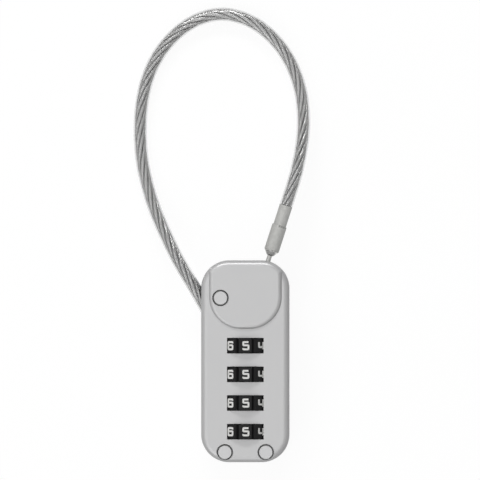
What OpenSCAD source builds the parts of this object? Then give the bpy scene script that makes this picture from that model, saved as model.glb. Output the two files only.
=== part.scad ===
// Four-dial cable combination lock with a captive loop of jacketed steel rope.
// It lies on its back: +Z out of the front face, +Y towards the cable, the origin at the
// middle of the back face. Millimetres.

/* [Case] */
// Width of the case
case_w = 26.5; // [25.5:0.1:32]
// Middle of the lowest dial to the bottom end of the case
foot_l = 9.2; // [9.2:0.1:14]
// Middle of the top dial to the top end of the case
head_l = 25.6; // [25:0.1:32]
// Corner radius, seen from the front
corner_r = 8.4; // [7:0.1:10]
// Rounding round the front face
front_edge = 1.9; // [1:0.1:2.4]
// Rounding round the back face
back_edge = 1.4; // [0.8:0.1:2.4]
// Metal left behind the dials
back_wall = 1.3; // [1:0.1:2.5]
// Metal left round the pin chamber
side_wall = 1.5; // [1.2:0.1:2]
// Metal below the spindle's spring
foot_wall = 2.3; // [1.8:0.1:2.6]
// Chamfer of each shell along the parting line
seam = 0.15; // [0.05:0.05:0.3]

/* [Raised pad] */
// Width of the raised pad
pad_w = 21.8; // [18:0.1:23]
// Top end of the case to the pad's lower edge
pad_l = 20.6; // [16:0.1:21]
// Height of the pad above the front face
pad_h = 1; // [0.6:0.1:1.6]
// Corner radius of the pad's lower edge
pad_corner = 9.7; // [5:0.1:10.4]
// Rounding round the pad
pad_edge = 1.2; // [0.3:0.1:1.4]

/* [Dials] */
// Size of a dial across its flats
dial_flats = 15.6; // [14:0.1:16.4]
// Diameter of a dial over its trimmed corners
dial_rim = 16; // [15:0.1:17]
// Width of a dial along its axis
dial_w = 4.3; // [3.8:0.1:5]
// Distance between two dials
dial_pitch = 8.6; // [8.4:0.1:10]
// Depth of the groove between two flats
groove_depth = 0.6; // [0.4:0.05:0.7]
// Length of a dial window across the front face
window_w = 11; // [9:0.1:12]
// Clearance between a dial's rim and its well
rim_gap = 0.25; // [0.2:0.05:0.5]
// Clearance between a dial's side and its window
side_gap = 0.2; // [0.15:0.05:0.4]

/* [Code works] */
// Diameter of a gate sleeve
sleeve_d = 8; // [7:0.1:9]
// Length of a sleeve below the middle of its dial
sleeve_below = 3.2; // [2.8:0.1:3.4]
// Diameter of the spindle
spindle_d = 3; // [2.6:0.1:3.4]
// Reach of a lug from the spindle's axis
lug_reach = 2.9; // [2.4:0.1:3.1]
// Width of a lug
lug_w = 1.4; // [1:0.1:2]
// Length of a lug along the spindle
lug_l = 1.2; // [0.8:0.1:1.4]
// Travel of the spindle that frees the sleeves for a new code
code_travel = 1.2; // [0.8:0.1:1.2]
// Diameter of the spindle's foot
foot_d = 2.4; // [2:0.1:2.5]
// Depth of the foot below the bottom end of the case
foot_recess = 1.5; // [1.2:0.1:1.6]
// Room for the sleeves' spring
sleeve_spring_l = 2.8; // [2.6:0.1:3.2]
// Wire of the sleeves' spring
sleeve_wire = 0.35; // [0.3:0.05:0.4]
// Wire of the spindle's spring
spindle_wire = 0.3; // [0.25:0.05:0.35]
// Thickness of the detent leaf
leaf_t = 0.3; // [0.2:0.05:0.4]

/* [Locking pin and ferrule] */
// Tilt of the pin from the length of the case
plug_tilt = 18; // [14:0.5:20]
// Place of the pin across the case, at its top end
plug_x = 6.9; // [6.4:0.1:7.4]
// Diameter of the pin's neck
neck_d = 1.4; // [1.2:0.05:1.6]
// Diameter of the pin's head
head_d = 3; // [2.6:0.1:3.2]
// Free length of the neck outside the case
neck_show = 1.5; // [1:0.1:3]
// Length of the ferrule's cone
cone_l = 1.6; // [1:0.1:2.5]
// Diameter of the ferrule's barrel
barrel_d = 4.5; // [4:0.1:5.5]
// Length of the ferrule's barrel
barrel_l = 7.9; // [6.8:0.1:10]
// Diameter of the ferrule's crimped end
crimp_d = 4; // [3.8:0.05:5]
// Length of the ferrule's crimped end
crimp_l = 6.3; // [5:0.1:8]
// Wire of the pin's hairpin spring
hairpin_wire = 0.8; // [0.6:0.05:0.9]

/* [Cable] */
// Diameter of the steel rope
rope_d = 3; // [2.4:0.1:3]
// Diameter over the clear jacket
jacket_d = 4; // [3.5:0.1:4.1]
// Diameter of the crimped anchor sleeve
anchor_d = 4.8; // [4.2:0.1:5.2]
// Length of the anchor sleeve
anchor_l = 4; // [3:0.1:4.2]

/* [Rivets] */
// Diameter of a rivet's head
rivet_head = 4.4; // [3.6:0.1:4.6]
// Diameter of a rivet's shank
rivet_shank = 3; // [2:0.1:3.2]
// Depth of a rivet's head
rivet_sink = 1.6; // [1:0.1:2]
// Upper rivet to the side of the case
rivet_side = 5.8; // [5:0.1:6.5]
// Upper rivet to the top end of the case
rivet_drop = 11.3; // [10:0.1:13]
// Distance between the two lower rivets
rivet_pair = 12.3; // [11.6:0.1:14]
// Lower rivets to the bottom end of the case
rivet_rise = 3; // [2.8:0.1:3.6]

/* [Hidden] */
$fn = 64;

// Clearances: a running fit, a close fit and a cut that runs past a face
run_gap = 0.1;
fit_gap = 0.05;
past = 1;

dial_count = 4;
dial_bevel = 0.25;
rivet_ring = 0.27;
rivet_ring_depth = 0.65;
digits = 10;
full_turn = 360;
digit_step = full_turn / digits;
groove_side = groove_depth * sqrt(2);
case_l = foot_l + (dial_count - 1) * dial_pitch + head_l;
top_y = case_l / 2;
foot_y = -case_l / 2;

// Heights: the dial axis is also the parting plane
well_r = dial_rim / 2 + rim_gap;
window_h = dial_w + 2 * side_gap;
axis_z = back_wall + well_r;
front_h = sqrt(well_r * well_r - window_w * window_w / 4);
front_z = axis_z + front_h;
pad_z = front_z + pad_h;
pad_r = min(pad_corner, pad_w / 2 - run_gap);

// Stations of the code works along Y
function dial_y(i) = foot_y + foot_l + (dial_count - 1 - i) * dial_pitch;
sleeve_l = dial_pitch - run_gap;
stack_low = dial_y(dial_count - 1) - sleeve_below;
stack_top = dial_y(0) - sleeve_below + sleeve_l;
sleeve_bore = spindle_d / 2 + run_gap;
lug_room_r = lug_reach + 2 * run_gap;
lug_room_l = lug_l + 7 * run_gap;
lug_from_top = 5 * run_gap + lug_l;
channel_r = sleeve_d / 2 + run_gap;
flange_t = 0.8;
flange_lip = 1.3;
flange_r = spindle_d / 2 + flange_lip;
flange_y = stack_low - run_gap;
washer_t = 0.4;
washer_y = stack_top + run_gap;
spring_low = washer_y + washer_t;
rib_y = spring_low + sleeve_spring_l;
rib_t = 1.3;
chamber_y = rib_y + rib_t;
foot_spring_y = foot_y + foot_wall;
spring_seat = 0.02;
coil_turns = 3;
sleeve_coil_r = spindle_d / 2 + 3 * run_gap + sleeve_wire * 1.8;
spindle_coil_r = foot_d / 2 + 3 * run_gap + spindle_wire / 2;

// Key of a sleeve and its notches in the dial
key_w = 0.9;
key_l = code_travel - 2 * run_gap;
key_h = 0.45;
notch_h = key_h + run_gap;
relief_r = sleeve_d / 2 + notch_h + fit_gap;

// Detent leaf beside the dials, in the parting plane
leaf_gap = 0.8;
leaf_x = dial_rim / 2 + leaf_gap;
leaf_low = 4.5;
spine_top = 2.2;
finger_top = 0.8;
finger_w = 3;
ridge_half = 0.55;
ridge_bite = 0.25;
flex_room = 0.6;

// Chamber of the locking pin, and what stands in it
chamber_half = 4.7;
chamber_left = 3.6;
guide_l = 6;
guide_right = case_w / 2;
guide_half = 3.2;
keeper_left = 1.9;
keeper_l = 1.2;
leg_room = hairpin_wire + run_gap + fit_gap;
leg_depth = guide_l + run_gap / 2 + hairpin_wire / 2;
leg_off = neck_d / 2 + fit_gap + hairpin_wire / 2;
leg_left = 4.6;
leg_right = 3.5;
head_depth = leg_depth + hairpin_wire / 2 + run_gap;
bullet_l = 2.2;
tip_l = 1;
socket_r = head_d / 2 + 1.5 * run_gap;
tine_in = leg_off + hairpin_wire / 2 + run_gap;
tine_t = 1;
tine_x = 2.2;
guide_left = (plug_x - guide_l * sin(plug_tilt) - tine_x - 4 * run_gap) / cos(plug_tilt);
tine_top = top_y - leg_depth * cos(plug_tilt) + leg_left * sin(plug_tilt) + hairpin_wire / 2;
drop = lug_l + 2 * run_gap;
fork_y = chamber_y + drop + run_gap;
fork_t = 1.2;
tenon_r = 1;

// Ferrule, measured along the pin's axis from the top end of the case
cone_s = neck_show;
barrel_s = cone_s + cone_l;
crimp_s = barrel_s + barrel_l;
ferrule_top_s = crimp_s + crimp_l;
pin_grip = 2.5;
rope_grip = 10.4;

// Places along the pin's axis and the fixed end's axis
cable_tilt = 30;
cable_drop = 11.8;
cable_hole_y = top_y - cable_drop;
anchor_depth = 5.5;
function plug_point(s) = [plug_x + s * sin(plug_tilt), top_y + s * cos(plug_tilt), axis_z];
function anchor_point(s) = [-case_w / 2 + s * sin(cable_tilt), cable_hole_y - s * cos(cable_tilt), axis_z];

// Cable: its loop by hand as x, y and lift, for a ferrule that ends at loop_mouth and a hole at
// loop_hole; lift 0 lies on the surface under the lock and lift 1 is as high as the dial axis
loop_mouth = [12.25, 46.75, axis_z];
loop_hole = [-13.25, 18.5, axis_z];
loop = [
    [13.8, 51.5, 0.99], [15.2, 56.2, 0.93], [16.3, 61, 0.77], [17.1, 65.8, 0.55], [17.5, 70.6, 0.34],
    [17.4, 75.4, 0.15], [16.8, 80.4, 0.03], [15.3, 85.8, 0], [12.9, 91.1, 0], [9.5, 95.9, 0],
    [4.9, 100.2, 0], [-0.7, 103.2, 0], [-6.8, 104.4, 0], [-13, 103.3, 0], [-18.7, 100.2, 0],
    [-23.4, 95.8, 0], [-27, 90.6, 0], [-29.5, 84.8, 0], [-31, 78.4, 0], [-31.6, 71.6, 0],
    [-31.5, 65, 0], [-30.8, 58.9, 0], [-29.5, 53, 0.01], [-27.8, 47.3, 0.07], [-25.7, 41.9, 0.26],
    [-23.2, 36.4, 0.52], [-20.8, 31.5, 0.77], [-18.4, 27.2, 0.93]
];
lying_z = jacket_d / 2 + run_gap;
cable_lead = 0.8;
cable_tail = 5;
cable_sides = 8;
mouth_shift = plug_point(ferrule_top_s) - loop_mouth;
hole_shift = anchor_point(0) - loop_hole;
function loop_point(i) =
    let (share = i / (len(loop) - 1), z = lying_z + loop[i][2] * (axis_z - lying_z))
    [loop[i][0], loop[i][1], z] + (1 - share) * mouth_shift + share * hole_shift;
free_cable = concat([plug_point(ferrule_top_s + cable_lead)],
                    [for (i = [0 : len(loop) - 1]) loop_point(i)], [anchor_point(-cable_tail)]);

// ---- Shared shapes ----

// Half section of a slab: chamfered at the parting plane, rounded at the far face
module rim_section(reach, height, edge) {
    polygon([[0, 0], [reach - seam, 0], [reach, seam], [reach, height - edge],
             [reach - edge, height], [0, height]]);
    translate([reach - edge, height - edge])
        circle(r = edge);
}

module full_section(reach, height, edge) {
    rim_section(reach, height, edge);
    mirror([1, 0])
        rim_section(reach, height, edge);
}

// Slab with round corners and a rounded upper edge, standing on z = 0
module rounded_slab(w, l, r, height, edge) {
    for (x = [-1, 1], y = [-1, 1])
        translate([x * (w / 2 - r), y * (l / 2 - r), 0])
            rotate_extrude()
                rim_section(r, height, edge);
    rotate([90, 0, 0])
        linear_extrude(l - 2 * r, center = true)
            full_section(w / 2, height, edge);
    rotate([90, 0, 90])
        linear_extrude(w - 2 * r, center = true)
            full_section(l / 2, height, edge);
}

// Straight plate with round corners, centred
module rounded_plate(w, l, r, height) {
    linear_extrude(height, center = true) {
        square([w - 2 * r, l], center = true);
        square([w, l - 2 * r], center = true);
        for (x = [-1, 1], y = [-1, 1])
            translate([x * (w / 2 - r), y * (l / 2 - r)])
                circle(r = r);
    }
}

// Rod along Y from y0 to y1 on the dial axis
module rod(r, y0, y1) {
    translate([0, y1, axis_z])
        rotate([90, 0, 0])
            cylinder(r = r, h = y1 - y0);
}

// Box on the dial axis, given by its lowest and highest corners; z from the axis
module axis_box(low, high) {
    translate([low[0], low[1], axis_z + low[2]])
        cube(high - low);
}

// Frame of the locking pin: +Z out along the pin, +X across it, from the top end of the case
module at_plug(s = 0) {
    translate(plug_point(0))
        rotate([-90, 0, -plug_tilt])
            translate([0, 0, s])
                children();
}

// Frame of the cable's fixed end: +Z into the case
module at_anchor(s = 0) {
    translate(anchor_point(0))
        rotate([90, 0, cable_tilt])
            translate([0, 0, s])
                children();
}

// ---- Swept tubes ----

function unit(v) = v / norm(v);
function heading(path, i) = unit(path[min(i + 1, len(path) - 1)] - path[max(i - 1, 0)]);
function across(t) = unit(cross(t, [0, 0, 1]));
function ring(path, i, r, sides) =
    let (t = heading(path, i), u = across(t), v = cross(u, t))
    [for (k = [0 : sides - 1]) path[i] + r * (cos(full_turn * k / sides) * u + sin(full_turn * k / sides) * v)];
function rings(path, r, sides) = [for (i = [0 : len(path) - 1]) each ring(path, i, r, sides)];
function skin(first, count, sides, flip) =
    [for (i = [0 : count - 2], k = [0 : sides - 1])
        let (a = first + i * sides + k, b = first + i * sides + (k + 1) % sides)
        flip ? [a, a + sides, b + sides, b] : [a, b, b + sides, a + sides]];

module solid_tube(path, r, sides) {
    n = len(path);
    polyhedron(
        points = rings(path, r, sides),
        faces = concat(skin(0, n, sides, false),
                       [[for (k = [sides - 1 : -1 : 0]) k]],
                       [[for (k = [0 : sides - 1]) (n - 1) * sides + k]]));
}

module hollow_tube(path, outer, inner, sides) {
    n = len(path);
    inside = n * sides;
    last = (n - 1) * sides;
    polyhedron(
        points = concat(rings(path, outer, sides), rings(path, inner, sides)),
        faces = concat(skin(0, n, sides, false), skin(inside, n, sides, true),
                       [for (k = [0 : sides - 1]) let (m = (k + 1) % sides)
                           [m, k, inside + k, inside + m]],
                       [for (k = [0 : sides - 1]) let (m = (k + 1) % sides)
                           [last + k, last + m, inside + last + m, inside + last + k]]));
}

// Coil spring along +Y from y0 to y1 round the dial axis
function coil_point(a, r, y0, rise) = [r * cos(a), y0 + rise * a / full_turn, axis_z + r * sin(a)];
function coil_ring(a, r, y0, rise, wire, sides) =
    [for (k = [0 : sides - 1]) let (b = full_turn * k / sides)
        coil_point(a, r + wire / 2 * cos(b), y0, rise) + [0, wire / 2 * sin(b), 0]];
module coil(r, wire, y0, y1, turns) {
    sides = 6;
    per_turn = 16;
    start = y0 + wire / 2 + spring_seat;
    rise = (y1 - y0 - wire - 2 * spring_seat) / turns;
    n = turns * per_turn + 1;
    polyhedron(
        points = [for (i = [0 : n - 1]) each coil_ring(full_turn * i / per_turn, r, start, rise, wire, sides)],
        faces = concat(skin(0, n, sides, false),
                       [[for (k = [sides - 1 : -1 : 0]) k]],
                       [[for (k = [0 : sides - 1]) (n - 1) * sides + k]]));
}

// ---- Room inside the case ----

module dial_wells() {
    for (i = [0 : dial_count - 1])
        rod(well_r, dial_y(i) - window_h / 2, dial_y(i) + window_h / 2);
}

module spindle_channel() {
    rod(channel_r, stack_low - 2 * run_gap, rib_y);
    rod(spindle_d / 2 + fit_gap, rib_y - past, chamber_y + past);
    rod(flange_r + 2 * run_gap, foot_spring_y, stack_low);
    rod(foot_d / 2 + fit_gap, foot_y - past, foot_spring_y + past);
}

module pin_chamber() {
    difference() {
        intersection() {
            translate([0, 0, axis_z])
                rounded_plate(case_w - 2 * side_wall, case_l - 2 * side_wall, corner_r - side_wall,
                              2 * chamber_half);
            axis_box([-chamber_left, chamber_y, -chamber_half - past], [case_w, top_y, chamber_half + past]);
        }
        at_plug(-guide_l)
            translate([-guide_left, -guide_half, 0])
                cube([guide_left + guide_right, 2 * guide_half, guide_l + 2 * past]);
        at_plug(-guide_l - leg_room - keeper_l)
            translate([keeper_left, -guide_half, 0])
                cube([guide_right - keeper_left, 2 * guide_half, keeper_l]);
    }
}

// Round hole whose seam stays off the parting plane
module bore(r, h) {
    rotate([0, 0, 90])
        cylinder(r = r, h = h);
}

module pin_socket() {
    at_plug(-guide_l - past)
        bore(socket_r, guide_l + 4 * past);
}

module cable_entry() {
    at_anchor(-jacket_d)
        bore(jacket_d / 2 + fit_gap, jacket_d + anchor_depth);
    at_anchor(anchor_depth - run_gap)
        bore(anchor_d / 2 + fit_gap, anchor_l + 6 * run_gap);
}

module detent_slot() {
    low_y = dial_y(dial_count - 1) - finger_w / 2 - run_gap;
    high_y = dial_y(0) + finger_w / 2 + run_gap;
    axis_box([-leaf_x - leaf_t - fit_gap, low_y, -leaf_low - run_gap],
             [-leaf_x + fit_gap, high_y, 0]);
    for (i = [0 : dial_count - 1])
        axis_box([-leaf_x - leaf_t - flex_room, dial_y(i) - finger_w / 2 - 2 * run_gap, -spine_top],
                 [-dial_rim / 2 + run_gap, dial_y(i) + finger_w / 2 + 2 * run_gap,
                  finger_top + 4 * run_gap]);
}

// ---- Rivets ----

module at_rivet(place) {
    if (place == "upper")
        translate([-case_w / 2 + rivet_side, top_y - rivet_drop, 0])
            children();
    if (place == "lower_left")
        translate([-rivet_pair / 2, foot_y + rivet_rise, 0])
            children();
    if (place == "lower_right")
        translate([rivet_pair / 2, foot_y + rivet_rise, 0])
            children();
}

module rivet_solid(top) {
    head = rivet_head / 2;
    face = head - rivet_ring;
    shank = rivet_shank / 2;
    rotate_extrude()
        polygon([[0, 0], [face, 0], [head, rivet_ring_depth], [head, rivet_sink],
                 [shank, rivet_sink], [shank, top - rivet_sink], [head, top - rivet_sink],
                 [head, top - rivet_ring_depth], [face, top], [0, top]]);
}

module rivet_hole(top) {
    head = rivet_head / 2 + fit_gap;
    mouth = head + rivet_ring;
    shank = rivet_shank / 2 + fit_gap;
    rotate_extrude()
        polygon([[0, -past], [mouth, -past], [mouth, 0], [head, rivet_ring_depth],
                 [head, rivet_sink], [shank, rivet_sink], [shank, top - rivet_sink],
                 [head, top - rivet_sink], [head, top - rivet_ring_depth], [mouth, top],
                 [mouth, top + past], [0, top + past]]);
}

module rivet_holes() {
    at_rivet("upper") rivet_hole(pad_z);
    at_rivet("lower_left") rivet_hole(front_z);
    at_rivet("lower_right") rivet_hole(front_z);
}

module case_room() {
    dial_wells();
    spindle_channel();
    pin_chamber();
    pin_socket();
    cable_entry();
    detent_slot();
    rivet_holes();
}

// ---- Case ----

module front_case() {
    color("#c4c4c4")
        difference() {
            translate([0, 0, axis_z])
                union() {
                    rounded_slab(case_w, case_l, corner_r, front_h, front_edge);
                    intersection() {
                        rounded_slab(case_w, case_l, corner_r, front_h + pad_h, front_edge);
                        translate([0, top_y - pad_l / 2 + pad_r, 0])
                            rounded_slab(pad_w, pad_l + 2 * pad_r, pad_r, front_h + pad_h, pad_edge);
                    }
                }
            case_room();
        }
}

module back_case() {
    color("#bdbdbd")
        difference() {
            translate([0, 0, axis_z])
                mirror([0, 0, 1])
                    rounded_slab(case_w, case_l, corner_r, axis_z, back_edge);
            case_room();
        }
}

module case_rivet_upper() {
    color("#cfcfcf")
        at_rivet("upper")
            rivet_solid(pad_z);
}

module case_rivet_lower_left() {
    color("#cfcfcf")
        at_rivet("lower_left")
            rivet_solid(front_z);
}

module case_rivet_lower_right() {
    color("#cfcfcf")
        at_rivet("lower_right")
            rivet_solid(front_z);
}

// ---- Dials and sleeves ----

module dial(i) {
    flats_r = dial_flats / 2 / cos(digit_step / 2);
    rim_r = dial_rim / 2;
    color("#1b1b1c")
        translate([0, dial_y(i), 0])
            difference() {
                intersection() {
                    translate([0, 0, axis_z])
                        rotate([90, 0, 0])
                            rotate_extrude()
                                polygon([[0, -dial_w / 2], [rim_r - dial_bevel, -dial_w / 2],
                                         [rim_r, dial_bevel - dial_w / 2], [rim_r, dial_w / 2 - dial_bevel],
                                         [rim_r - dial_bevel, dial_w / 2], [0, dial_w / 2]]);
                    translate([0, 0, axis_z])
                        rotate([90, 0, 0])
                            cylinder(r = flats_r, h = dial_w + past, center = true, $fn = digits);
                }
                for (k = [0 : digits - 1])
                    translate([0, 0, axis_z])
                        rotate([0, (k + 0.5) * digit_step, 0])
                            translate([0, 0, rim_r])
                                rotate([0, 45, 0])
                                    cube([groove_side, dial_w + past, groove_side], center = true);
                rod(sleeve_d / 2 + fit_gap, -dial_w, dial_w);
                rod(relief_r, 0, dial_w);
                for (k = [0 : digits - 1])
                    translate([0, 0, axis_z])
                        rotate([0, k * digit_step, 0])
                            translate([-key_w / 2 - fit_gap, -dial_w, 0])
                                cube([key_w + 2 * fit_gap, dial_w + fit_gap, sleeve_d / 2 + notch_h]);
            }
}

module gate_sleeve(i) {
    low = -sleeve_below;
    high = low + sleeve_l;
    color("#6e6e6d")
        translate([0, dial_y(i), 0])
            difference() {
                union() {
                    rod(sleeve_d / 2, low, high);
                    axis_box([-key_w / 2, -key_l - run_gap, sleeve_d / 2 - key_h],
                             [key_w / 2, -run_gap, sleeve_d / 2 + key_h]);
                }
                rod(sleeve_bore, low - past, high + past);
                rod(lug_room_r, high - lug_room_l, high + past);
                axis_box([-lug_w / 2 - run_gap, low - past, -lug_room_r],
                         [lug_w / 2 + run_gap, high + past, 0]);
            }
}

// ---- Spindle ----

module spindle() {
    color("#a9a9a6") {
        rod(foot_d / 2, foot_y + foot_recess, flange_y);
        rod(flange_r, flange_y - flange_t, flange_y);
        rod(spindle_d / 2, flange_y - flange_t, fork_y);
        rod(tenon_r, fork_y - past, fork_y + fork_t);
        for (i = [0 : dial_count - 1]) {
            lug_y = dial_y(i) - sleeve_below + sleeve_l - lug_from_top;
            axis_box([-lug_w / 2, lug_y, -lug_reach], [lug_w / 2, lug_y + lug_l, 0]);
        }
    }
}

module blocking_fork() {
    color("#8f9194")
        difference() {
            union() {
                axis_box([-tine_x, fork_y, -tine_in - tine_t], [tine_x, fork_y + fork_t, tine_in + tine_t]);
                axis_box([-tine_x, fork_y, tine_in], [tine_x, tine_top, tine_in + tine_t]);
                axis_box([-tine_x, fork_y, -tine_in - tine_t], [tine_x, tine_top, -tine_in]);
            }
            rod(tenon_r, fork_y - past, fork_y + fork_t + past);
        }
}

module thrust_washer() {
    color("#b9b9b4")
        difference() {
            rod(sleeve_d / 2 - run_gap, washer_y, washer_y + washer_t);
            rod(spindle_d / 2 + fit_gap, washer_y - past, washer_y + washer_t + past);
        }
}

module sleeve_spring() {
    color("#9a9c9e")
        coil(sleeve_coil_r, sleeve_wire, spring_low, rib_y, coil_turns);
}

module spindle_spring() {
    color("#9a9c9e")
        coil(spindle_coil_r, spindle_wire, foot_spring_y, flange_y - flange_t, coil_turns);
}

// ---- Leaf and hairpin springs ----

module detent_spring() {
    low_y = dial_y(dial_count - 1) - finger_w / 2;
    high_y = dial_y(0) + finger_w / 2;
    color("#86898c") {
        axis_box([-leaf_x - leaf_t, low_y, -leaf_low], [-leaf_x, high_y, -spine_top]);
        for (i = [0 : dial_count - 1]) {
            axis_box([-leaf_x - leaf_t, dial_y(i) - finger_w / 2, -spine_top],
                     [-leaf_x, dial_y(i) + finger_w / 2, finger_top]);
            translate([0, dial_y(i), axis_z])
                rotate([90, 0, 0])
                    linear_extrude(finger_w, center = true)
                        polygon([[-leaf_x - leaf_t / 2, -ridge_half], [-leaf_x, -ridge_half],
                                 [-dial_rim / 2 + ridge_bite, 0], [-leaf_x, ridge_half],
                                 [-leaf_x - leaf_t / 2, ridge_half]]);
        }
    }
}

module pin_spring() {
    wire_r = hairpin_wire / 2;
    color("#86898c")
        at_plug(-leg_depth) {
            for (side = [-1, 1])
                translate([-leg_left, side * leg_off, 0])
                    rotate([0, 90, 0])
                        cylinder(r = wire_r, h = leg_left + leg_right);
            translate([leg_right, 0, 0])
                rotate([0, 0, -90])
                    rotate_extrude(angle = 180)
                        translate([leg_off, 0])
                            circle(r = wire_r);
        }
}

// ---- Plug ----

module locking_pin() {
    color("#b4b5b3") {
        at_plug(-head_depth)
            cylinder(r = neck_d / 2, h = head_depth + barrel_s + pin_grip);
        at_plug(-head_depth - bullet_l)
            cylinder(r = head_d / 2, h = bullet_l);
        at_plug(-head_depth - bullet_l - tip_l)
            cylinder(r1 = neck_d / 2, r2 = head_d / 2, h = tip_l);
    }
}

module ferrule() {
    color("#b1b1af")
        difference() {
            union() {
                at_plug(cone_s)
                    cylinder(r1 = neck_d / 2 + run_gap, r2 = barrel_d / 2, h = cone_l);
                at_plug(barrel_s)
                    cylinder(r = barrel_d / 2, h = barrel_l);
                at_plug(crimp_s)
                    cylinder(r = crimp_d / 2, h = crimp_l);
            }
            at_plug(cone_s - past)
                cylinder(r = neck_d / 2, h = past + cone_l + pin_grip);
            at_plug(ferrule_top_s - rope_grip)
                cylinder(r = rope_d / 2 + fit_gap, h = rope_grip + past);
        }
}

// ---- Cable ----

module anchor_sleeve() {
    color("#b1b1af")
        at_anchor(anchor_depth)
            difference() {
                cylinder(r = anchor_d / 2, h = anchor_l);
                translate([0, 0, -past])
                    cylinder(r = rope_d / 2 + fit_gap, h = anchor_l + 2 * past);
            }
}

module cable_rope() {
    inner_end = plug_point(ferrule_top_s - rope_grip + run_gap);
    fixed_end = anchor_point(anchor_depth + anchor_l + 2 * run_gap);
    color("#8d8e8c")
        solid_tube(concat([inner_end], free_cable, [fixed_end]), rope_d / 2, cable_sides);
}

module cable_jacket() {
    mouth = plug_point(ferrule_top_s + fit_gap);
    fixed_end = anchor_point(anchor_depth - 2 * run_gap);
    color("#e4e6e4", 0.4)
        hollow_tube(concat([mouth], free_cable, [fixed_end]), jacket_d / 2, rope_d / 2 + fit_gap,
                    cable_sides);
}

front_case();
back_case();
case_rivet_upper();
case_rivet_lower_left();
case_rivet_lower_right();
dial(0);  // dial_1
dial(1);  // dial_2
dial(2);  // dial_3
dial(3);  // dial_4
gate_sleeve(0);  // gate_sleeve_1
gate_sleeve(1);  // gate_sleeve_2
gate_sleeve(2);  // gate_sleeve_3
gate_sleeve(3);  // gate_sleeve_4
spindle();
blocking_fork();
thrust_washer();
sleeve_spring();
spindle_spring();
detent_spring();
pin_spring();
locking_pin();
ferrule();
anchor_sleeve();
cable_rope();
cable_jacket();
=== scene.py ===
# Four-dial cable combination lock: the looks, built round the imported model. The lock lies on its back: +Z
# out of the front, +Y towards the cable. Lengths are in millimetres, and MM turns them into the model's
# metres.
import math

import bpy
from mathutils import Matrix, Vector


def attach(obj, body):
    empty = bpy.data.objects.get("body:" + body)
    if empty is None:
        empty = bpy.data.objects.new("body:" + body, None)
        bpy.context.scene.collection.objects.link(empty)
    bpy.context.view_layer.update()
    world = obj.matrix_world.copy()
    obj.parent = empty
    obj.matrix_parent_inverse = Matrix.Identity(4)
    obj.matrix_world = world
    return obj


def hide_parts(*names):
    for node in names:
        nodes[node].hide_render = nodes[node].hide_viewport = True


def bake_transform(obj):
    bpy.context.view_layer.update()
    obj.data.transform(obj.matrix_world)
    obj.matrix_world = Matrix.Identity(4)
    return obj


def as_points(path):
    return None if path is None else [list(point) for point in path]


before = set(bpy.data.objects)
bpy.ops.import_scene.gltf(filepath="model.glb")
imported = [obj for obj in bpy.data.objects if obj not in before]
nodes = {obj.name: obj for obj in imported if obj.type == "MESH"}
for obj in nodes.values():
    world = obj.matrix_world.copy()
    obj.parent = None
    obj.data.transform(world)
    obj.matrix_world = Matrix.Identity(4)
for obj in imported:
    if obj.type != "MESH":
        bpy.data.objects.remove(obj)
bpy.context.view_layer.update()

MM = 0.001

# Places that the model gives its pieces
AXIS_Z = 9.55                     # the dials, the pin and both ends of the cable lie this high
CASE_W = 26.5
TOP_Y = 30.3
DIAL_Y = {"dial_1": 4.7, "dial_2": -3.9, "dial_3": -12.5, "dial_4": -21.1}
FACET_R = 7.8                     # from a dial's axis to its faces
PIN_TILT = math.radians(18)
PIN_X = 6.9                       # where the pin's axis crosses the top end of the case
CABLE_TILT = math.radians(30)
CABLE_HOLE_Y = 18.5
MOUTH_S = 17.3                    # from the top end of the case along the pin to the ferrule's mouth
LYING_Z = 2.1                     # middle of the cable where it lies on the table


# ---- Camera ----

def add_camera():
    # Straight above the lock; a long lens keeps the loop and the case at one scale. The view is view_w
    # wide at the height front_z
    lens, sensor = 1000, 36
    view_x, view_y, view_w, front_z = -1.6, 36.4, 144, 15.7
    data = bpy.data.cameras.new("camera")
    data.sensor_width = sensor
    data.lens = lens
    camera = bpy.data.objects.new("camera", data)
    camera.location = Vector((view_x, view_y, front_z + view_w * lens / sensor)) * MM
    bpy.context.scene.collection.objects.link(camera)
    bpy.context.scene.camera = camera


# ---- Meshes ----

SHARP_ANGLE = 38      # an edge that turns further than this stays crisp


def mesh_piece(name, points, faces, smooth=True):
    mesh = bpy.data.meshes.new(name)
    mesh.from_pydata([tuple(p) for p in points], [], faces)
    mesh.validate()
    for face in mesh.polygons:
        face.use_smooth = smooth
    if smooth:
        mesh.set_sharp_from_angle(angle=math.radians(SHARP_ANGLE))
    piece = bpy.data.objects.new(name, mesh)
    bpy.context.scene.collection.objects.link(piece)
    return piece


def finish_piece(piece, material):
    piece.data.materials.clear()
    piece.data.materials.append(material)
    return piece


def ring_faces(first, rings, sides, inward=False):
    # Quads between rings of points that follow each other
    faces = []
    for i in range(rings - 1):
        for k in range(sides):
            a = first + i * sides + k
            b = first + i * sides + (k + 1) % sides
            faces.append((a, a + sides, b + sides, b) if inward else (a, b, b + sides, a + sides))
    return faces


# ---- Cable route ----

def pin_point(s):
    return Vector((PIN_X + s * math.sin(PIN_TILT), TOP_Y + s * math.cos(PIN_TILT), AXIS_Z))


def anchor_point(s):
    across, along = s * math.sin(CABLE_TILT), s * math.cos(CABLE_TILT)
    return Vector((across - CASE_W / 2, CABLE_HOLE_Y - along, AXIS_Z))


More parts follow.
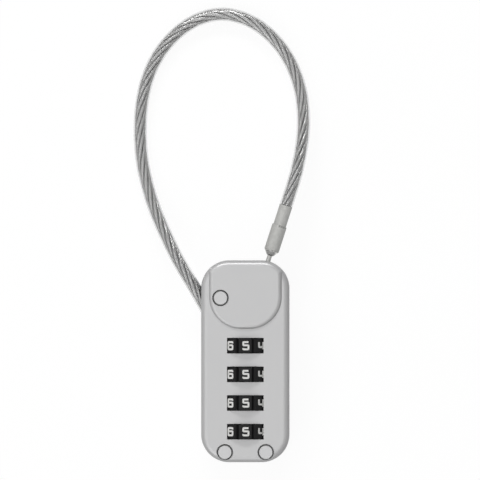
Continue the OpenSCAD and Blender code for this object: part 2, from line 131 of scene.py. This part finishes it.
# The loop as the model lays it: x, y and lift, where lift 1 is as high as the dial axis
LOOP = [
    (13.8, 51.5, 0.99), (15.2, 56.2, 0.93), (16.3, 61, 0.77), (17.1, 65.8, 0.55), (17.5, 70.6, 0.34),
    (17.4, 75.4, 0.15), (16.8, 80.4, 0.03), (15.3, 85.8, 0), (12.9, 91.1, 0), (9.5, 95.9, 0),
    (4.9, 100.2, 0), (-0.7, 103.2, 0), (-6.8, 104.4, 0), (-13, 103.3, 0), (-18.7, 100.2, 0),
    (-23.4, 95.8, 0), (-27, 90.6, 0), (-29.5, 84.8, 0), (-31, 78.4, 0), (-31.6, 71.6, 0),
    (-31.5, 65, 0), (-30.8, 58.9, 0), (-29.5, 53, 0.01), (-27.8, 47.3, 0.07), (-25.7, 41.9, 0.26),
    (-23.2, 36.4, 0.52), (-20.8, 31.5, 0.77), (-18.4, 27.2, 0.93),
]


PARTS_PER_KNOT = 40


def smooth_line(knots, step):
    # Even points on a smooth line through the knots, and the line's length
    fine = []
    padded = [2 * knots[0] - knots[1], *knots, 2 * knots[-1] - knots[-2]]
    for a, b, c, d in zip(padded, padded[1:], padded[2:], padded[3:]):
        for i in range(PARTS_PER_KNOT):
            t = i / PARTS_PER_KNOT
            fine.append(0.5 * (2 * b + (c - a) * t + (2 * a - 5 * b + 4 * c - d) * t ** 2
                               + (3 * b - a - 3 * c + d) * t ** 3))
    fine.append(knots[-1].copy())
    lengths = [0.0]
    for a, b in zip(fine, fine[1:]):
        lengths.append(lengths[-1] + (b - a).length)
    count = max(2, round(lengths[-1] / step))
    line, k = [], 0
    for i in range(count + 1):
        want = lengths[-1] * i / count
        while k < len(fine) - 2 and lengths[k + 1] < want:
            k += 1
        share = (want - lengths[k]) / max(lengths[k + 1] - lengths[k], 1e-9)
        line.append(fine[k].lerp(fine[k + 1], min(max(share, 0), 1)))
    return line, lengths[-1]


def carried_frames(line):
    # Two directions across the line at each point, carried along it without twist
    frames = []
    side = Vector((0, 0, 1))
    for i, point in enumerate(line):
        along = (line[min(i + 1, len(line) - 1)] - line[max(i - 1, 0)]).normalized()
        side = (side - along * side.dot(along)).normalized()
        frames.append((point, side, along.cross(side)))
    return frames


def cable_knots(first, last):
    loop = [Vector((x, y, LYING_Z + lift * (AXIS_Z - LYING_Z))) for x, y, lift in LOOP]
    return [*first, *loop, *last]


# ---- Steel rope ----

ROPE_R = 1.6
ROPE_LAY = 30.0       # one turn of a strand round the rope
STRANDS = 6           # round the middle strand
STRAND_R = ROPE_R / 3
WIRES = 6             # round the middle wire of a strand
WIRE_DENT = 0.06      # depth between two wires, as a share of the strand's radius
POINTS_PER_WIRE = 4
ROPE_STEP = 0.5       # between two rings of points along the rope

# Ends of the rope: along the pin's axis through the ferrule, and down the case's hole to its stop
ROPE_IN_FERRULE = (7, 11, 15, 18.1)
ROPE_IN_CASE = (-5, -1, 4, 9.7)


def strand_outline():
    # Outline of a strand as angle and radius: round wires with dents between them
    outline = []
    for k in range(WIRES * POINTS_PER_WIRE):
        angle = 2 * math.pi * k / (WIRES * POINTS_PER_WIRE)
        dent = 1 - abs(math.cos(WIRES / 2 * angle))
        outline.append((angle, STRAND_R * (1 - WIRE_DENT * dent ** 2)))
    return outline


def build_rope():
    knots = cable_knots([pin_point(s) for s in ROPE_IN_FERRULE], [anchor_point(s) for s in ROPE_IN_CASE])
    line, _ = smooth_line(knots, ROPE_STEP)
    frames = carried_frames(line)
    outline = strand_outline()
    sides = len(outline)
    points, faces = [], []
    for strand in range(STRANDS + 1):
        first = len(points)
        for i, (point, u, v) in enumerate(frames):
            turn = 2 * math.pi * (i * ROPE_STEP / ROPE_LAY + strand / STRANDS)
            centre = point
            if strand < STRANDS:
                centre = point + 2 * STRAND_R * (math.cos(turn) * u + math.sin(turn) * v)
            for angle, radius in outline:
                across = math.cos(angle + turn) * u + math.sin(angle + turn) * v
                points.append((centre + radius * across) * MM)
        faces += ring_faces(first, len(frames), sides)
        faces.append(tuple(first + k for k in reversed(range(sides))))
        faces.append(tuple(first + (len(frames) - 1) * sides + k for k in range(sides)))
    return mesh_piece("rope_strands", points, faces)


# ---- Clear jacket ----

JACKET_R = 2.0
JACKET_BORE_R = 1.68
JACKET_STEP = 1
JACKET_FROM_MOUTH = (-0.05, 0.8)      # along the pin's axis, from the ferrule's mouth
JACKET_IN_CASE = (-5, -1, 3, 5.3)     # down the case's hole


def build_jacket():
    sides = 32
    knots = cable_knots([pin_point(MOUTH_S + s) for s in JACKET_FROM_MOUTH],
                        [anchor_point(s) for s in JACKET_IN_CASE])
    line, length = smooth_line(knots, JACKET_STEP)
    frames = carried_frames(line)
    points = []
    for radius in (JACKET_R, JACKET_BORE_R):
        for point, u, v in frames:
            for k in range(sides):
                angle = 2 * math.pi * k / sides
                points.append((point + radius * (math.cos(angle) * u + math.sin(angle) * v)) * MM)
    inside = len(frames) * sides
    last = inside - sides
    faces = ring_faces(0, len(frames), sides) + ring_faces(inside, len(frames), sides, inward=True)
    for k in range(sides):
        m = (k + 1) % sides
        faces.append((m, k, inside + k, inside + m))
        faces.append((last + k, last + m, inside + last + m, inside + last + k))
    piece = mesh_piece("jacket_tube", points, faces)
    return piece, [p * MM for p in line], length * MM


# ---- Ferrule ----

# Along the pin's axis from the top end of the case: place, radius, and how hard the crimping dies
# pressed the metal in there
FERRULE_PROFILE = [
    (1.5, 0.76, 0), (1.52, 0.95, 0), (1.9, 1.3, 0), (2.6, 1.85, 0), (2.9, 2.07, 0), (3.1, 2.18, 0),
    (3.3, 2.24, 0), (3.6, 2.25, 0), (6, 2.25, 0), (9, 2.25, 0), (10.4, 2.25, 0), (10.62, 2.25, 0),
    (10.7, 2.25, 0), (10.84, 2.24, 0), (10.94, 2.2, 0), (11.0, 2.1, 0), (11.04, 2.02, 1), (11.3, 2.0, 1),
    (13, 2.0, 1), (15, 2.0, 1), (16.8, 2.0, 0.8), (17.1, 2.0, 0.2), (17.24, 1.97, 0), (17.3, 1.9, 0),
    (17.3, 1.62, 0), (17.2, 1.56, 0), (15, 1.56, 0),
]
CONE_END = 3.1
DIES = 6
DIE_PRESS = 0.05      # how deep the middle of a die went in

# Groove that the edge of one die left: along the axis, round it, and how deep
BITE_FROM, BITE_TO = 10.5, 10.98
BITE_START, BITE_STOP = math.radians(268), math.radians(348)
BITE_DEPTH = 0.35


def build_ferrule():
    sides = 72
    points = []
    for s, radius, pressed in FERRULE_PROFILE:
        for k in range(sides):
            angle = 2 * math.pi * k / sides
            r = radius - pressed * DIE_PRESS * (0.5 + 0.5 * math.cos(DIES * angle))
            if BITE_FROM < s < BITE_TO and BITE_START <= angle < BITE_STOP:
                r -= BITE_DEPTH
            points.append(Vector((r * math.cos(angle), r * math.sin(angle), s)) * MM)
    faces = ring_faces(0, len(FERRULE_PROFILE), sides)
    piece = mesh_piece("ferrule_crimped", points, faces)
    lean = Matrix.Rotation(-PIN_TILT, 4, "Z") @ Matrix.Rotation(math.radians(-90), 4, "X")
    piece.matrix_world = Matrix.Translation(pin_point(0) * MM) @ lean
    return piece


# ---- Coil springs ----

SPRING_TURNS = 3
SPRING_SEAT = 0.02    # left free at both ends of a coil

# Coil: body under it, body over it, radius, wire, and its two seats along Y
COILS = {
    "sleeve_spring": ("spindle", "case", 2.43, 0.35, 10.5, 13.3),
    "spindle_spring": ("case", "spindle", 1.65, 0.3, -28, -25.2),
}


def build_coil(name, radius, wire, low, high):
    # Round wire wound along the dial axis between two seats, low and high along Y
    sides, per_turn = 10, 32
    count = SPRING_TURNS * per_turn + 1
    start = low + wire / 2 + SPRING_SEAT
    rise = high - low - wire - 2 * SPRING_SEAT
    points = []
    for i in range(count):
        turn = 2 * math.pi * i / per_turn
        y = start + rise * i / (count - 1)
        for k in range(sides):
            b = 2 * math.pi * k / sides
            r = radius + wire / 2 * math.cos(b)
            points.append(Vector((r * math.cos(turn), y + wire / 2 * math.sin(b),
                                  AXIS_Z + r * math.sin(turn))) * MM)
    faces = ring_faces(0, count, sides)
    faces.append(tuple(reversed(range(sides))))
    faces.append(tuple((count - 1) * sides + k for k in range(sides)))
    return mesh_piece(name, points, faces)


# ---- Figures on the dials ----

FIGURE_W = 0.77       # half the width of a figure between the middles of its strokes
FIGURE_H = 1.08
STROKE = 0.56
FIGURE_SHIFT = 0.16   # how far the figures stand to the right of the middle of their faces
FIGURE_T = 0.05       # thickness of the enamel
CORNER = 0.2
CORNER_STEPS = 6
FACETS = 10
FRONT_FIGURE = 5      # the one that shows in the middle of each window
W, H = FIGURE_W, FIGURE_H

# Strokes of each figure; a stroke that ends where it starts is closed
FIGURES = {
    0: [[(-W, -H), (-W, H), (W, H), (W, -H), (-W, -H)]],
    1: [[(-0.5, 0.62), (0.05, H), (0.05, -H)]],
    2: [[(-W, 0.62), (-W, H), (W, H), (W, 0.02), (-W, -0.5), (-W, -H), (W, -H)]],
    3: [[(-W, H), (W, H), (W, -H), (-W, -H)], [(-0.35, 0), (W, 0)]],
    4: [[(-W, H), (-W, -0.42), (W, -0.42)], [(W, H), (W, -H)]],
    5: [[(W, H), (-W, H), (-W, 0.12), (W, 0.12), (W, -H), (-W, -H), (-W, -0.72)]],
    6: [[(W, 0.66), (W, H), (-W, H), (-W, -H), (W, -H), (W, 0.12), (-W, 0.12)]],
    7: [[(-W, H), (W, H), (W, 0.45), (-0.15, -H)]],
    8: [[(-W, -H), (-W, H), (W, H), (W, -H), (-W, -H)], [(-W, 0.05), (W, 0.05)]],
    9: [[(-W, -0.66), (-W, -H), (W, -H), (W, H), (-W, H), (-W, -0.12), (W, -0.12)]],
}


def rounded_stroke(corners, closed):
    # The stroke's middle line with its corners rounded
    line = []
    count = len(corners)
    for i, corner in enumerate(corners):
        if not closed and i in (0, count - 1):
            line.append(corner)
            continue
        before = corners[i - 1] - corner
        after = corners[(i + 1) % count] - corner
        cut = min(CORNER, before.length / 2, after.length / 2)
        a = corner + before.normalized() * cut
        b = corner + after.normalized() * cut
        for k in range(CORNER_STEPS + 1):
            t = k / CORNER_STEPS
            line.append((1 - t) ** 2 * a + 2 * t * (1 - t) * corner + t ** 2 * b)
    return line


def stroke_slab(stroke, points, faces, place):
    # One stroke as a thin closed slab; place takes flat x, y and height to the dial
    corners = [Vector(p) for p in stroke]
    closed = (corners[0] - corners[-1]).length < 1e-6
    if closed:
        corners.pop()
    line = rounded_stroke(corners, closed)
    count = len(line)
    first = len(points)
    for i, point in enumerate(line):
        ahead = line[(i + 1) % count] if closed else line[min(i + 1, count - 1)]
        behind = line[i - 1] if closed else line[max(i - 1, 0)]
        along = (ahead - behind).normalized()
        side = Vector((-along.y, along.x)) * STROKE / 2
        left, right = point + side, point - side
        for flat, height in ((left, 1), (right, 1), (right, -1), (left, -1)):
            points.append(place(flat.x, flat.y, height * FIGURE_T / 2))
    for i in range(count if closed else count - 1):
        a = first + 4 * i
        b = first + 4 * ((i + 1) % count)
        for k in range(4):
            m = (k + 1) % 4
            faces.append((a + k, a + m, b + m, b + k))
    if not closed:
        end = first + 4 * (count - 1)
        faces.append((first + 3, first + 2, first + 1, first))
        faces.append((end, end + 1, end + 2, end + 3))


def build_figures():
    # One figure on each face of a dial, round the middle of the dial
    points, faces = [], []
    for facet in range(FACETS):
        angle = 2 * math.pi * facet / FACETS
        out = Vector((math.sin(angle), 0, math.cos(angle)))
        across = Vector((math.cos(angle), 0, -math.sin(angle)))

        def place(x, y, height):
            return (across * (x + FIGURE_SHIFT) + Vector((0, y, 0)) + out * (FACET_R + height)) * MM

        for stroke in FIGURES[(FRONT_FIGURE - facet) % FACETS]:
            stroke_slab(stroke, points, faces, place)
    return points, faces


# ---- Materials ----

SKIN = 0.02 * MM      # height of the faint unevenness of a finish


def linear(code):
    # sRGB hex to linear colour
    parts = [int(code[i:i + 2], 16) / 255 for i in (1, 3, 5)]
    return tuple(c / 12.92 if c <= 0.04045 else ((c + 0.055) / 1.055) ** 2.4 for c in parts) + (1,)


def node(tree, kind, inputs=(), **settings):
    # Adds a node; an input is a number, a colour or another node's output
    made = tree.nodes.new(kind)
    for name, value in settings.items():
        setattr(made, name, value)
    for socket, value in inputs:
        if isinstance(value, bpy.types.NodeSocket):
            tree.links.new(value, made.inputs[socket])
        else:
            made.inputs[socket].default_value = value
    return made


def new_finish(name):
    material = bpy.data.materials.new(name)
    material.use_nodes = True
    tree = material.node_tree
    tree.nodes.clear()
    return material, tree


def end_finish(tree, inputs):
    shader = node(tree, "ShaderNodeBsdfPrincipled", inputs)
    node(tree, "ShaderNodeOutputMaterial", [("Surface", shader.outputs["BSDF"])])


def object_point(tree):
    return node(tree, "ShaderNodeTexCoord").outputs["Object"]


def per_mm(size):
    # Scale of a pattern whose spots or lines are this many millimetres apart
    return 1 / (size * MM)


def edge_mask(tree, radius):
    # 1 on sharp edges and 0 on flats, from how a rounded normal leaves the real one
    soft = node(tree, "ShaderNodeBevel", [("Radius", radius * MM)], samples=6)
    flat = node(tree, "ShaderNodeNewGeometry")
    dot = node(tree, "ShaderNodeVectorMath", [(0, soft.outputs["Normal"]), (1, flat.outputs["Normal"])],
               operation="DOT_PRODUCT")
    mask = node(tree, "ShaderNodeMapRange", [("Value", dot.outputs["Value"]), ("From Min", 0.98),
                                             ("From Max", 0.8), ("To Min", 0.0), ("To Max", 1.0)])
    return mask.outputs["Result"]


def painted_die_cast_zinc(name, main, patch, edge):
    # Satin silver paint on cast zinc: even colour, a soft metal sheen, a fine orange peel, and paint
    # worn thin and lighter along the sharp edges; painted shade darkens the grooves and creases
    patches, dimples, worn_edge, groove = 9, 0.45, 0.12, 0.5
    material, tree = new_finish(name)
    point = object_point(tree)
    cloud = node(tree, "ShaderNodeTexNoise", [("Vector", point), ("Scale", per_mm(patches)),
                                              ("Detail", 2.0)])
    peel = node(tree, "ShaderNodeTexNoise", [("Vector", point), ("Scale", per_mm(dimples)),
                                             ("Detail", 3.0)])
    base = node(tree, "ShaderNodeMix", [(0, cloud.outputs["Fac"]), (6, linear(main)), (7, linear(patch))],
                data_type="RGBA")
    worn = node(tree, "ShaderNodeMath", [(0, edge_mask(tree, worn_edge)), (1, peel.outputs["Fac"])],
                operation="MULTIPLY")
    lit = node(tree, "ShaderNodeMix", [(0, worn.outputs[0]), (6, base.outputs[2]), (7, linear(edge))],
               data_type="RGBA")
    # Painted shade: hidden grooves, rivet rings and creases are darkened in the colour
    hollow = node(tree, "ShaderNodeAmbientOcclusion", [("Distance", groove * MM)], samples=8)
    groove_shade = node(tree, "ShaderNodeMapRange", [("Value", hollow.outputs["AO"]), ("From Min", 0.25),
                                              ("From Max", 0.75), ("To Min", 0.55), ("To Max", 0.0)])
    colour = node(tree, "ShaderNodeMix", [(0, groove_shade.outputs["Result"]), (6, lit.outputs[2]),
                                          (7, linear("#4A4A49"))], data_type="RGBA")
    rough = node(tree, "ShaderNodeMapRange", [("Value", peel.outputs["Fac"]), ("To Min", 0.32),
                                              ("To Max", 0.38)])
    bump = node(tree, "ShaderNodeBump", [("Height", peel.outputs["Fac"]), ("Strength", 0.25),
                                         ("Distance", SKIN)])
    end_finish(tree, [("Base Color", colour.outputs[2]), ("Metallic", 0.28),
                      ("Roughness", rough.outputs["Result"]), ("Normal", bump.outputs["Normal"]),
                      ("IOR", 1.5)])
    return material


def moulded_black_abs():
    # Injection-moulded black ABS: deep black, with painted shade along the sharp edges, rims and grooves
    # between the faces, and a spark-eroded grain, which is drawn coarser than the real one so that it shows
    grain_size, painted_shade_edge = 0.2, 0.35
    material, tree = new_finish("moulded_black_abs")
    point = object_point(tree)
    grain = node(tree, "ShaderNodeTexNoise", [("Vector", point), ("Scale", per_mm(grain_size)),
                                              ("Detail", 4.0)])
    base = node(tree, "ShaderNodeMix", [(0, grain.outputs["Fac"]), (6, linear("#0C0C0D")),
                                        (7, linear("#141415"))], data_type="RGBA")
    # Painted shade: the rims and grooves of the faces are coloured near black
    colour = node(tree, "ShaderNodeMix", [(0, edge_mask(tree, painted_shade_edge)), (6, base.outputs[2]),
                                          (7, linear("#050505"))], data_type="RGBA")
    rough = node(tree, "ShaderNodeMapRange", [("Value", grain.outputs["Fac"]), ("To Min", 0.34),
                                              ("To Max", 0.5)])
    bump = node(tree, "ShaderNodeBump", [("Height", grain.outputs["Fac"]), ("Strength", 0.3),
                                         ("Distance", SKIN)])
    end_finish(tree, [("Base Color", colour.outputs[2]), ("Roughness", rough.outputs["Result"]),
                      ("Normal", bump.outputs["Normal"]), ("IOR", 1.54), ("Specular IOR Level", 0.15)])
    return material


def white_figure_enamel():
    # White enamel wiped into the figures: off-white, slightly uneven, a soft gloss
    smears = 0.5
    material, tree = new_finish("white_figure_enamel")
    point = object_point(tree)
    cloud = node(tree, "ShaderNodeTexNoise", [("Vector", point), ("Scale", per_mm(smears)),
                                              ("Detail", 3.0)])
    colour = node(tree, "ShaderNodeMix", [(0, cloud.outputs["Fac"]), (6, linear("#F6F6F4")),
                                          (7, linear("#E6E6E3"))], data_type="RGBA")
    bump = node(tree, "ShaderNodeBump", [("Height", cloud.outputs["Fac"]), ("Strength", 0.2),
                                         ("Distance", SKIN)])
    end_finish(tree, [("Base Color", colour.outputs[2]), ("Roughness", 0.45),
                      ("Normal", bump.outputs["Normal"]), ("IOR", 1.5)])
    return material


def crimped_nickel_ferrule():
    # Tumbled nickel plate on a crimped steel sleeve: even, matt and pale, with a cone that was left
    # bright from the lathe and mirrors what is round it
    cloudy, cone_blend = 1.2, 0.3
    material, tree = new_finish("crimped_nickel_ferrule")
    point = object_point(tree)
    along = node(tree, "ShaderNodeVectorMath", [(0, point), (1, (0, 0, 1))], operation="DOT_PRODUCT")
    cone = node(tree, "ShaderNodeMapRange", [("Value", along.outputs["Value"]),
                                             ("From Min", CONE_END * MM),
                                             ("From Max", (CONE_END - cone_blend) * MM)])
    cloud = node(tree, "ShaderNodeTexNoise", [("Vector", point), ("Scale", per_mm(cloudy)),
                                              ("Detail", 4.0)])
    matt = node(tree, "ShaderNodeMix", [(0, cloud.outputs["Fac"]), (6, linear("#B1B1AF")),
                                        (7, linear("#A7A7A5"))], data_type="RGBA")
    colour = node(tree, "ShaderNodeMix", [(0, cone.outputs["Result"]), (6, matt.outputs[2]),
                                          (7, linear("#D9D9D7"))], data_type="RGBA")
    dull = node(tree, "ShaderNodeMapRange", [("Value", cloud.outputs["Fac"]), ("To Min", 0.74),
                                             ("To Max", 0.86)])
    rough = node(tree, "ShaderNodeMix", [(0, cone.outputs["Result"]), (2, dull.outputs["Result"]),
                                         (3, 0.26)])
    bump = node(tree, "ShaderNodeBump", [("Height", cloud.outputs["Fac"]), ("Strength", 0.25),
                                         ("Distance", SKIN)])
    end_finish(tree, [("Base Color", colour.outputs[2]), ("Metallic", 1.0),
                      ("Roughness", rough.outputs[0]), ("Normal", bump.outputs["Normal"])])
    return material


def turned_metal(name, bright, dull, axis, smooth, rough_to, groove):
    # Turned or pressed round parts, plain or plated: fine rings round the axis, a broken sheen and
    # duller patches
    patches, ring_depth = 1.5, 0.01
    material, tree = new_finish(name)
    point = object_point(tree)
    along = node(tree, "ShaderNodeVectorMath", [(0, point), (1, axis)], operation="DOT_PRODUCT")
    rings = node(tree, "ShaderNodeTexNoise", [("W", along.outputs["Value"]), ("Scale", per_mm(groove)),
                                              ("Detail", 3.0)], noise_dimensions="1D")
    cloud = node(tree, "ShaderNodeTexNoise", [("Vector", point), ("Scale", per_mm(patches)),
                                              ("Detail", 4.0)])
    colour = node(tree, "ShaderNodeMix", [(0, cloud.outputs["Fac"]), (6, linear(bright)),
                                          (7, linear(dull))], data_type="RGBA")
    rough = node(tree, "ShaderNodeMapRange", [("Value", cloud.outputs["Fac"]), ("To Min", smooth),
                                              ("To Max", rough_to)])
    bump = node(tree, "ShaderNodeBump", [("Height", rings.outputs["Fac"]), ("Strength", 0.25),
                                         ("Distance", ring_depth * MM)])
    end_finish(tree, [("Base Color", colour.outputs[2]), ("Metallic", 1.0),
                      ("Roughness", rough.outputs["Result"]), ("Normal", bump.outputs["Normal"])])
    return material


def drawn_wire(name, bright, dull, smooth, rough_to):
    # Drawn wire, plain or dipped in zinc: a grey metal with brighter and duller spots along each wire,
    # and painted shade that darkens the gaps between the strands
    spangle, gap_width = 0.6, 0.6
    material, tree = new_finish(name)
    point = object_point(tree)
    spots = node(tree, "ShaderNodeTexNoise", [("Vector", point), ("Scale", per_mm(spangle)),
                                              ("Detail", 5.0)])
    colour = node(tree, "ShaderNodeMix", [(0, spots.outputs["Fac"]), (6, linear(bright)),
                                          (7, linear(dull))], data_type="RGBA")
    # Painted shade: the gaps between the strands are darkened in the colour
    gap = node(tree, "ShaderNodeAmbientOcclusion", [("Distance", gap_width * MM)], samples=8,
               only_local=True)
    strand_shade = node(tree, "ShaderNodeMapRange", [("Value", gap.outputs["AO"]), ("From Min", 0.3),
                                               ("From Max", 0.85), ("To Min", 0.8), ("To Max", 0.0)])
    shaded_wire = node(tree, "ShaderNodeMix", [(0, strand_shade.outputs["Result"]), (6, colour.outputs[2]),
                                           (7, linear("#3C3B38"))], data_type="RGBA")
    rough = node(tree, "ShaderNodeMapRange", [("Value", spots.outputs["Fac"]), ("To Min", smooth),
                                              ("To Max", rough_to)])
    bump = node(tree, "ShaderNodeBump", [("Height", spots.outputs["Fac"]), ("Strength", 0.2),
                                         ("Distance", SKIN)])
    end_finish(tree, [("Base Color", shaded_wire.outputs[2]), ("Metallic", 1.0),
                      ("Roughness", rough.outputs["Result"]), ("Normal", bump.outputs["Normal"])])
    return material


def clear_extruded_pvc():
    # Clear soft PVC extruded over the rope: glassy, with a faint waviness along its skin
    wave_length, wave_depth = 3, 0.05
    material, tree = new_finish("clear_extruded_pvc")
    point = object_point(tree)
    wave = node(tree, "ShaderNodeTexNoise", [("Vector", point), ("Scale", per_mm(wave_length)),
                                             ("Detail", 2.0)])
    rough = node(tree, "ShaderNodeMapRange", [("Value", wave.outputs["Fac"]), ("To Min", 0.02),
                                              ("To Max", 0.1)])
    bump = node(tree, "ShaderNodeBump", [("Height", wave.outputs["Fac"]), ("Strength", 0.15),
                                         ("Distance", wave_depth * MM)])
    end_finish(tree, [("Base Color", linear("#E2E2E2")), ("Transmission Weight", 1.0), ("IOR", 1.53),
                      ("Roughness", rough.outputs["Result"]), ("Normal", bump.outputs["Normal"])])
    return material


# ---- Studio, in metres ----

def backdrop_rays(tree):
    # 1 for the rays that show the backdrop: camera, mirror and see-through rays
    rays = node(tree, "ShaderNodeLightPath").outputs
    shown = node(tree, "ShaderNodeMath", [(0, rays["Is Camera Ray"]), (1, rays["Is Glossy Ray"])],
                 operation="MAXIMUM")
    return node(tree, "ShaderNodeMath", [(0, shown.outputs[0]), (1, rays["Is Transmission Ray"])],
                operation="MAXIMUM").outputs[0]


def add_floor():
    # White paper: its own light makes it plain white but for lit_share, which the lamps light and the
    # lock shades. Under the lamps alone, white paper would be lamp_white bright
    lit_share, lamp_white = 0.1, 0.75
    half = 3.0
    floor = mesh_piece("floor", [(-half, -half, 0), (half, -half, 0), (half, half, 0), (-half, half, 0)],
                       [(0, 1, 2, 3)], smooth=False)
    material, tree = new_finish("white_paper")
    grey = (lit_share, lit_share, lit_share, 1)
    paper = node(tree, "ShaderNodeBsdfDiffuse", [("Color", grey)])
    glow = node(tree, "ShaderNodeEmission", [("Color", (1, 1, 1, 1)),
                                             ("Strength", 1 - lamp_white * lit_share)])
    none = node(tree, "ShaderNodeEmission", [("Strength", 0.0)])
    shown = node(tree, "ShaderNodeMixShader", [(0, backdrop_rays(tree)), (1, none.outputs[0]),
                                               (2, glow.outputs[0])])
    both = node(tree, "ShaderNodeAddShader", [(0, paper.outputs[0]), (1, shown.outputs[0])])
    node(tree, "ShaderNodeOutputMaterial", [("Surface", both.outputs[0])])
    floor.data.materials.append(material)


def add_world(fill):
    # A weak fill light from all round; the rays that show the backdrop find it plain white
    world = bpy.data.worlds.new("studio")
    bpy.context.scene.world = world
    world.use_nodes = True
    tree = world.node_tree
    tree.nodes.clear()
    soft = node(tree, "ShaderNodeBackground", [("Color", (1, 1, 1, 1)), ("Strength", fill)])
    white = node(tree, "ShaderNodeBackground", [("Color", (1, 1, 1, 1)), ("Strength", 1.0)])
    mixed = node(tree, "ShaderNodeMixShader", [(0, backdrop_rays(tree)), (1, soft.outputs[0]),
                                               (2, white.outputs[0])])
    node(tree, "ShaderNodeOutputWorld", [("Surface", mixed.outputs[0])])


def add_lamp(name, azimuth, elevation, wide, tall, share):
    # share is how much of a flat's plain brightness this lamp gives to a face turned to it
    distance = 1.5
    data = bpy.data.lights.new(name, "AREA")
    data.shape = "RECTANGLE"
    data.size = wide
    data.size_y = tall
    data.energy = share * (math.pi * distance) ** 2
    lamp = bpy.data.objects.new(name, data)
    az, el = math.radians(azimuth), math.radians(elevation)
    target = Vector((0, 0.02, 0))
    towards = Vector((math.cos(el) * math.cos(az), math.cos(el) * math.sin(az), math.sin(el)))
    lamp.location = target + distance * towards
    lamp.rotation_euler = (target - lamp.location).to_track_quat("-Z", "Y").to_euler()
    lamp.visible_camera = False
    bpy.context.scene.collection.objects.link(lamp)


# ---- The lock ----

PIN_AXIS = (math.sin(PIN_TILT), math.cos(PIN_TILT), 0)
HOLE_AXIS = (math.sin(CABLE_TILT), -math.cos(CABLE_TILT), 0)
DIAL_AXIS = (0, 1, 0)

add_camera()

rope = build_rope()
jacket, jacket_line, jacket_length = build_jacket()
ferrule = build_ferrule()

case_paint = painted_die_cast_zinc("painted_die_cast_zinc", "#BFBFBF", "#BCBCBD", "#D2D2D1")
rivet_paint = painted_die_cast_zinc("painted_rivet_head", "#C6C6C6", "#C0C0C1", "#D6D6D5")
dial_abs = moulded_black_abs()
figure_enamel = white_figure_enamel()
nickel = crimped_nickel_ferrule()
pin_nickel = turned_metal("turned_nickel_plated_pin", "#B4B4B2", "#A6A6A4", PIN_AXIS, 0.5, 0.62, 0.08)
sintered = turned_metal("sintered_steel", "#6E6E6D", "#585857", DIAL_AXIS, 0.45, 0.6, 0.15)
zinc_plate = turned_metal("zinc_plated_steel", "#B3B4B2", "#9B9C9B", DIAL_AXIS, 0.3, 0.46, 0.2)
anchor_zinc = turned_metal("pressed_zinc_sleeve", "#A9AAA8", "#8F908F", HOLE_AXIS, 0.35, 0.5, 0.2)
rope_zinc = drawn_wire("galvanised_rope_wire", "#CCCCCB", "#AAAAA9", 0.4, 0.55)
spring_steel = drawn_wire("drawn_spring_steel", "#A4A6A8", "#85878A", 0.25, 0.45)
pvc = clear_extruded_pvc()

finish_piece(rope, rope_zinc)
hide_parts("cable_rope")
finish_piece(jacket, pvc)
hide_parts("cable_jacket")
# The rope and the jacket are baked where they lie
for cable in (rope, jacket):
    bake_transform(cable)
finish_piece(ferrule, nickel)
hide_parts("ferrule")
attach(ferrule, "plug")
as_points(jacket_line)

figure_points, figure_faces = build_figures()
for dial, y in DIAL_Y.items():
    figures = mesh_piece("figures_" + dial, figure_points, figure_faces, smooth=False)
    figures.location = Vector((0, y, AXIS_Z)) * MM
    finish_piece(figures, figure_enamel)
    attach(figures, dial)

# Each coil has one end on the case and the other on the spindle, which rises for a new code
for name, (lower, upper, radius, wire, low, high) in COILS.items():
    coil = finish_piece(build_coil(name + "_coil", radius, wire, low, high), spring_steel)
    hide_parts(name)
    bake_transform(coil)

NODE_FINISH = {
    "front_case": case_paint, "back_case": case_paint,
    "case_rivet_upper": rivet_paint, "case_rivet_lower_left": rivet_paint,
    "case_rivet_lower_right": rivet_paint,
    "dial_1": dial_abs, "dial_2": dial_abs, "dial_3": dial_abs, "dial_4": dial_abs,
    "gate_sleeve_1": sintered, "gate_sleeve_2": sintered,
    "gate_sleeve_3": sintered, "gate_sleeve_4": sintered,
    "spindle": zinc_plate, "blocking_fork": zinc_plate, "thrust_washer": zinc_plate,
    "detent_spring": spring_steel, "pin_spring": spring_steel, "locking_pin": pin_nickel,
    "anchor_sleeve": anchor_zinc,
}
for name, material in NODE_FINISH.items():
    nodes[name].data.materials.clear()
    nodes[name].data.materials.append(material)

add_floor()
add_world(0.02)
add_lamp("overhead_softbox", azimuth=188, elevation=72, wide=2.0, tall=2.0, share=0.48)
add_lamp("top_lamp", azimuth=97, elevation=34, wide=1.2, tall=0.26, share=0.52)
add_lamp("foot_lamp", azimuth=248, elevation=38, wide=1.8, tall=1.0, share=0.32)

bpy.context.scene.view_settings.view_transform = "Standard"
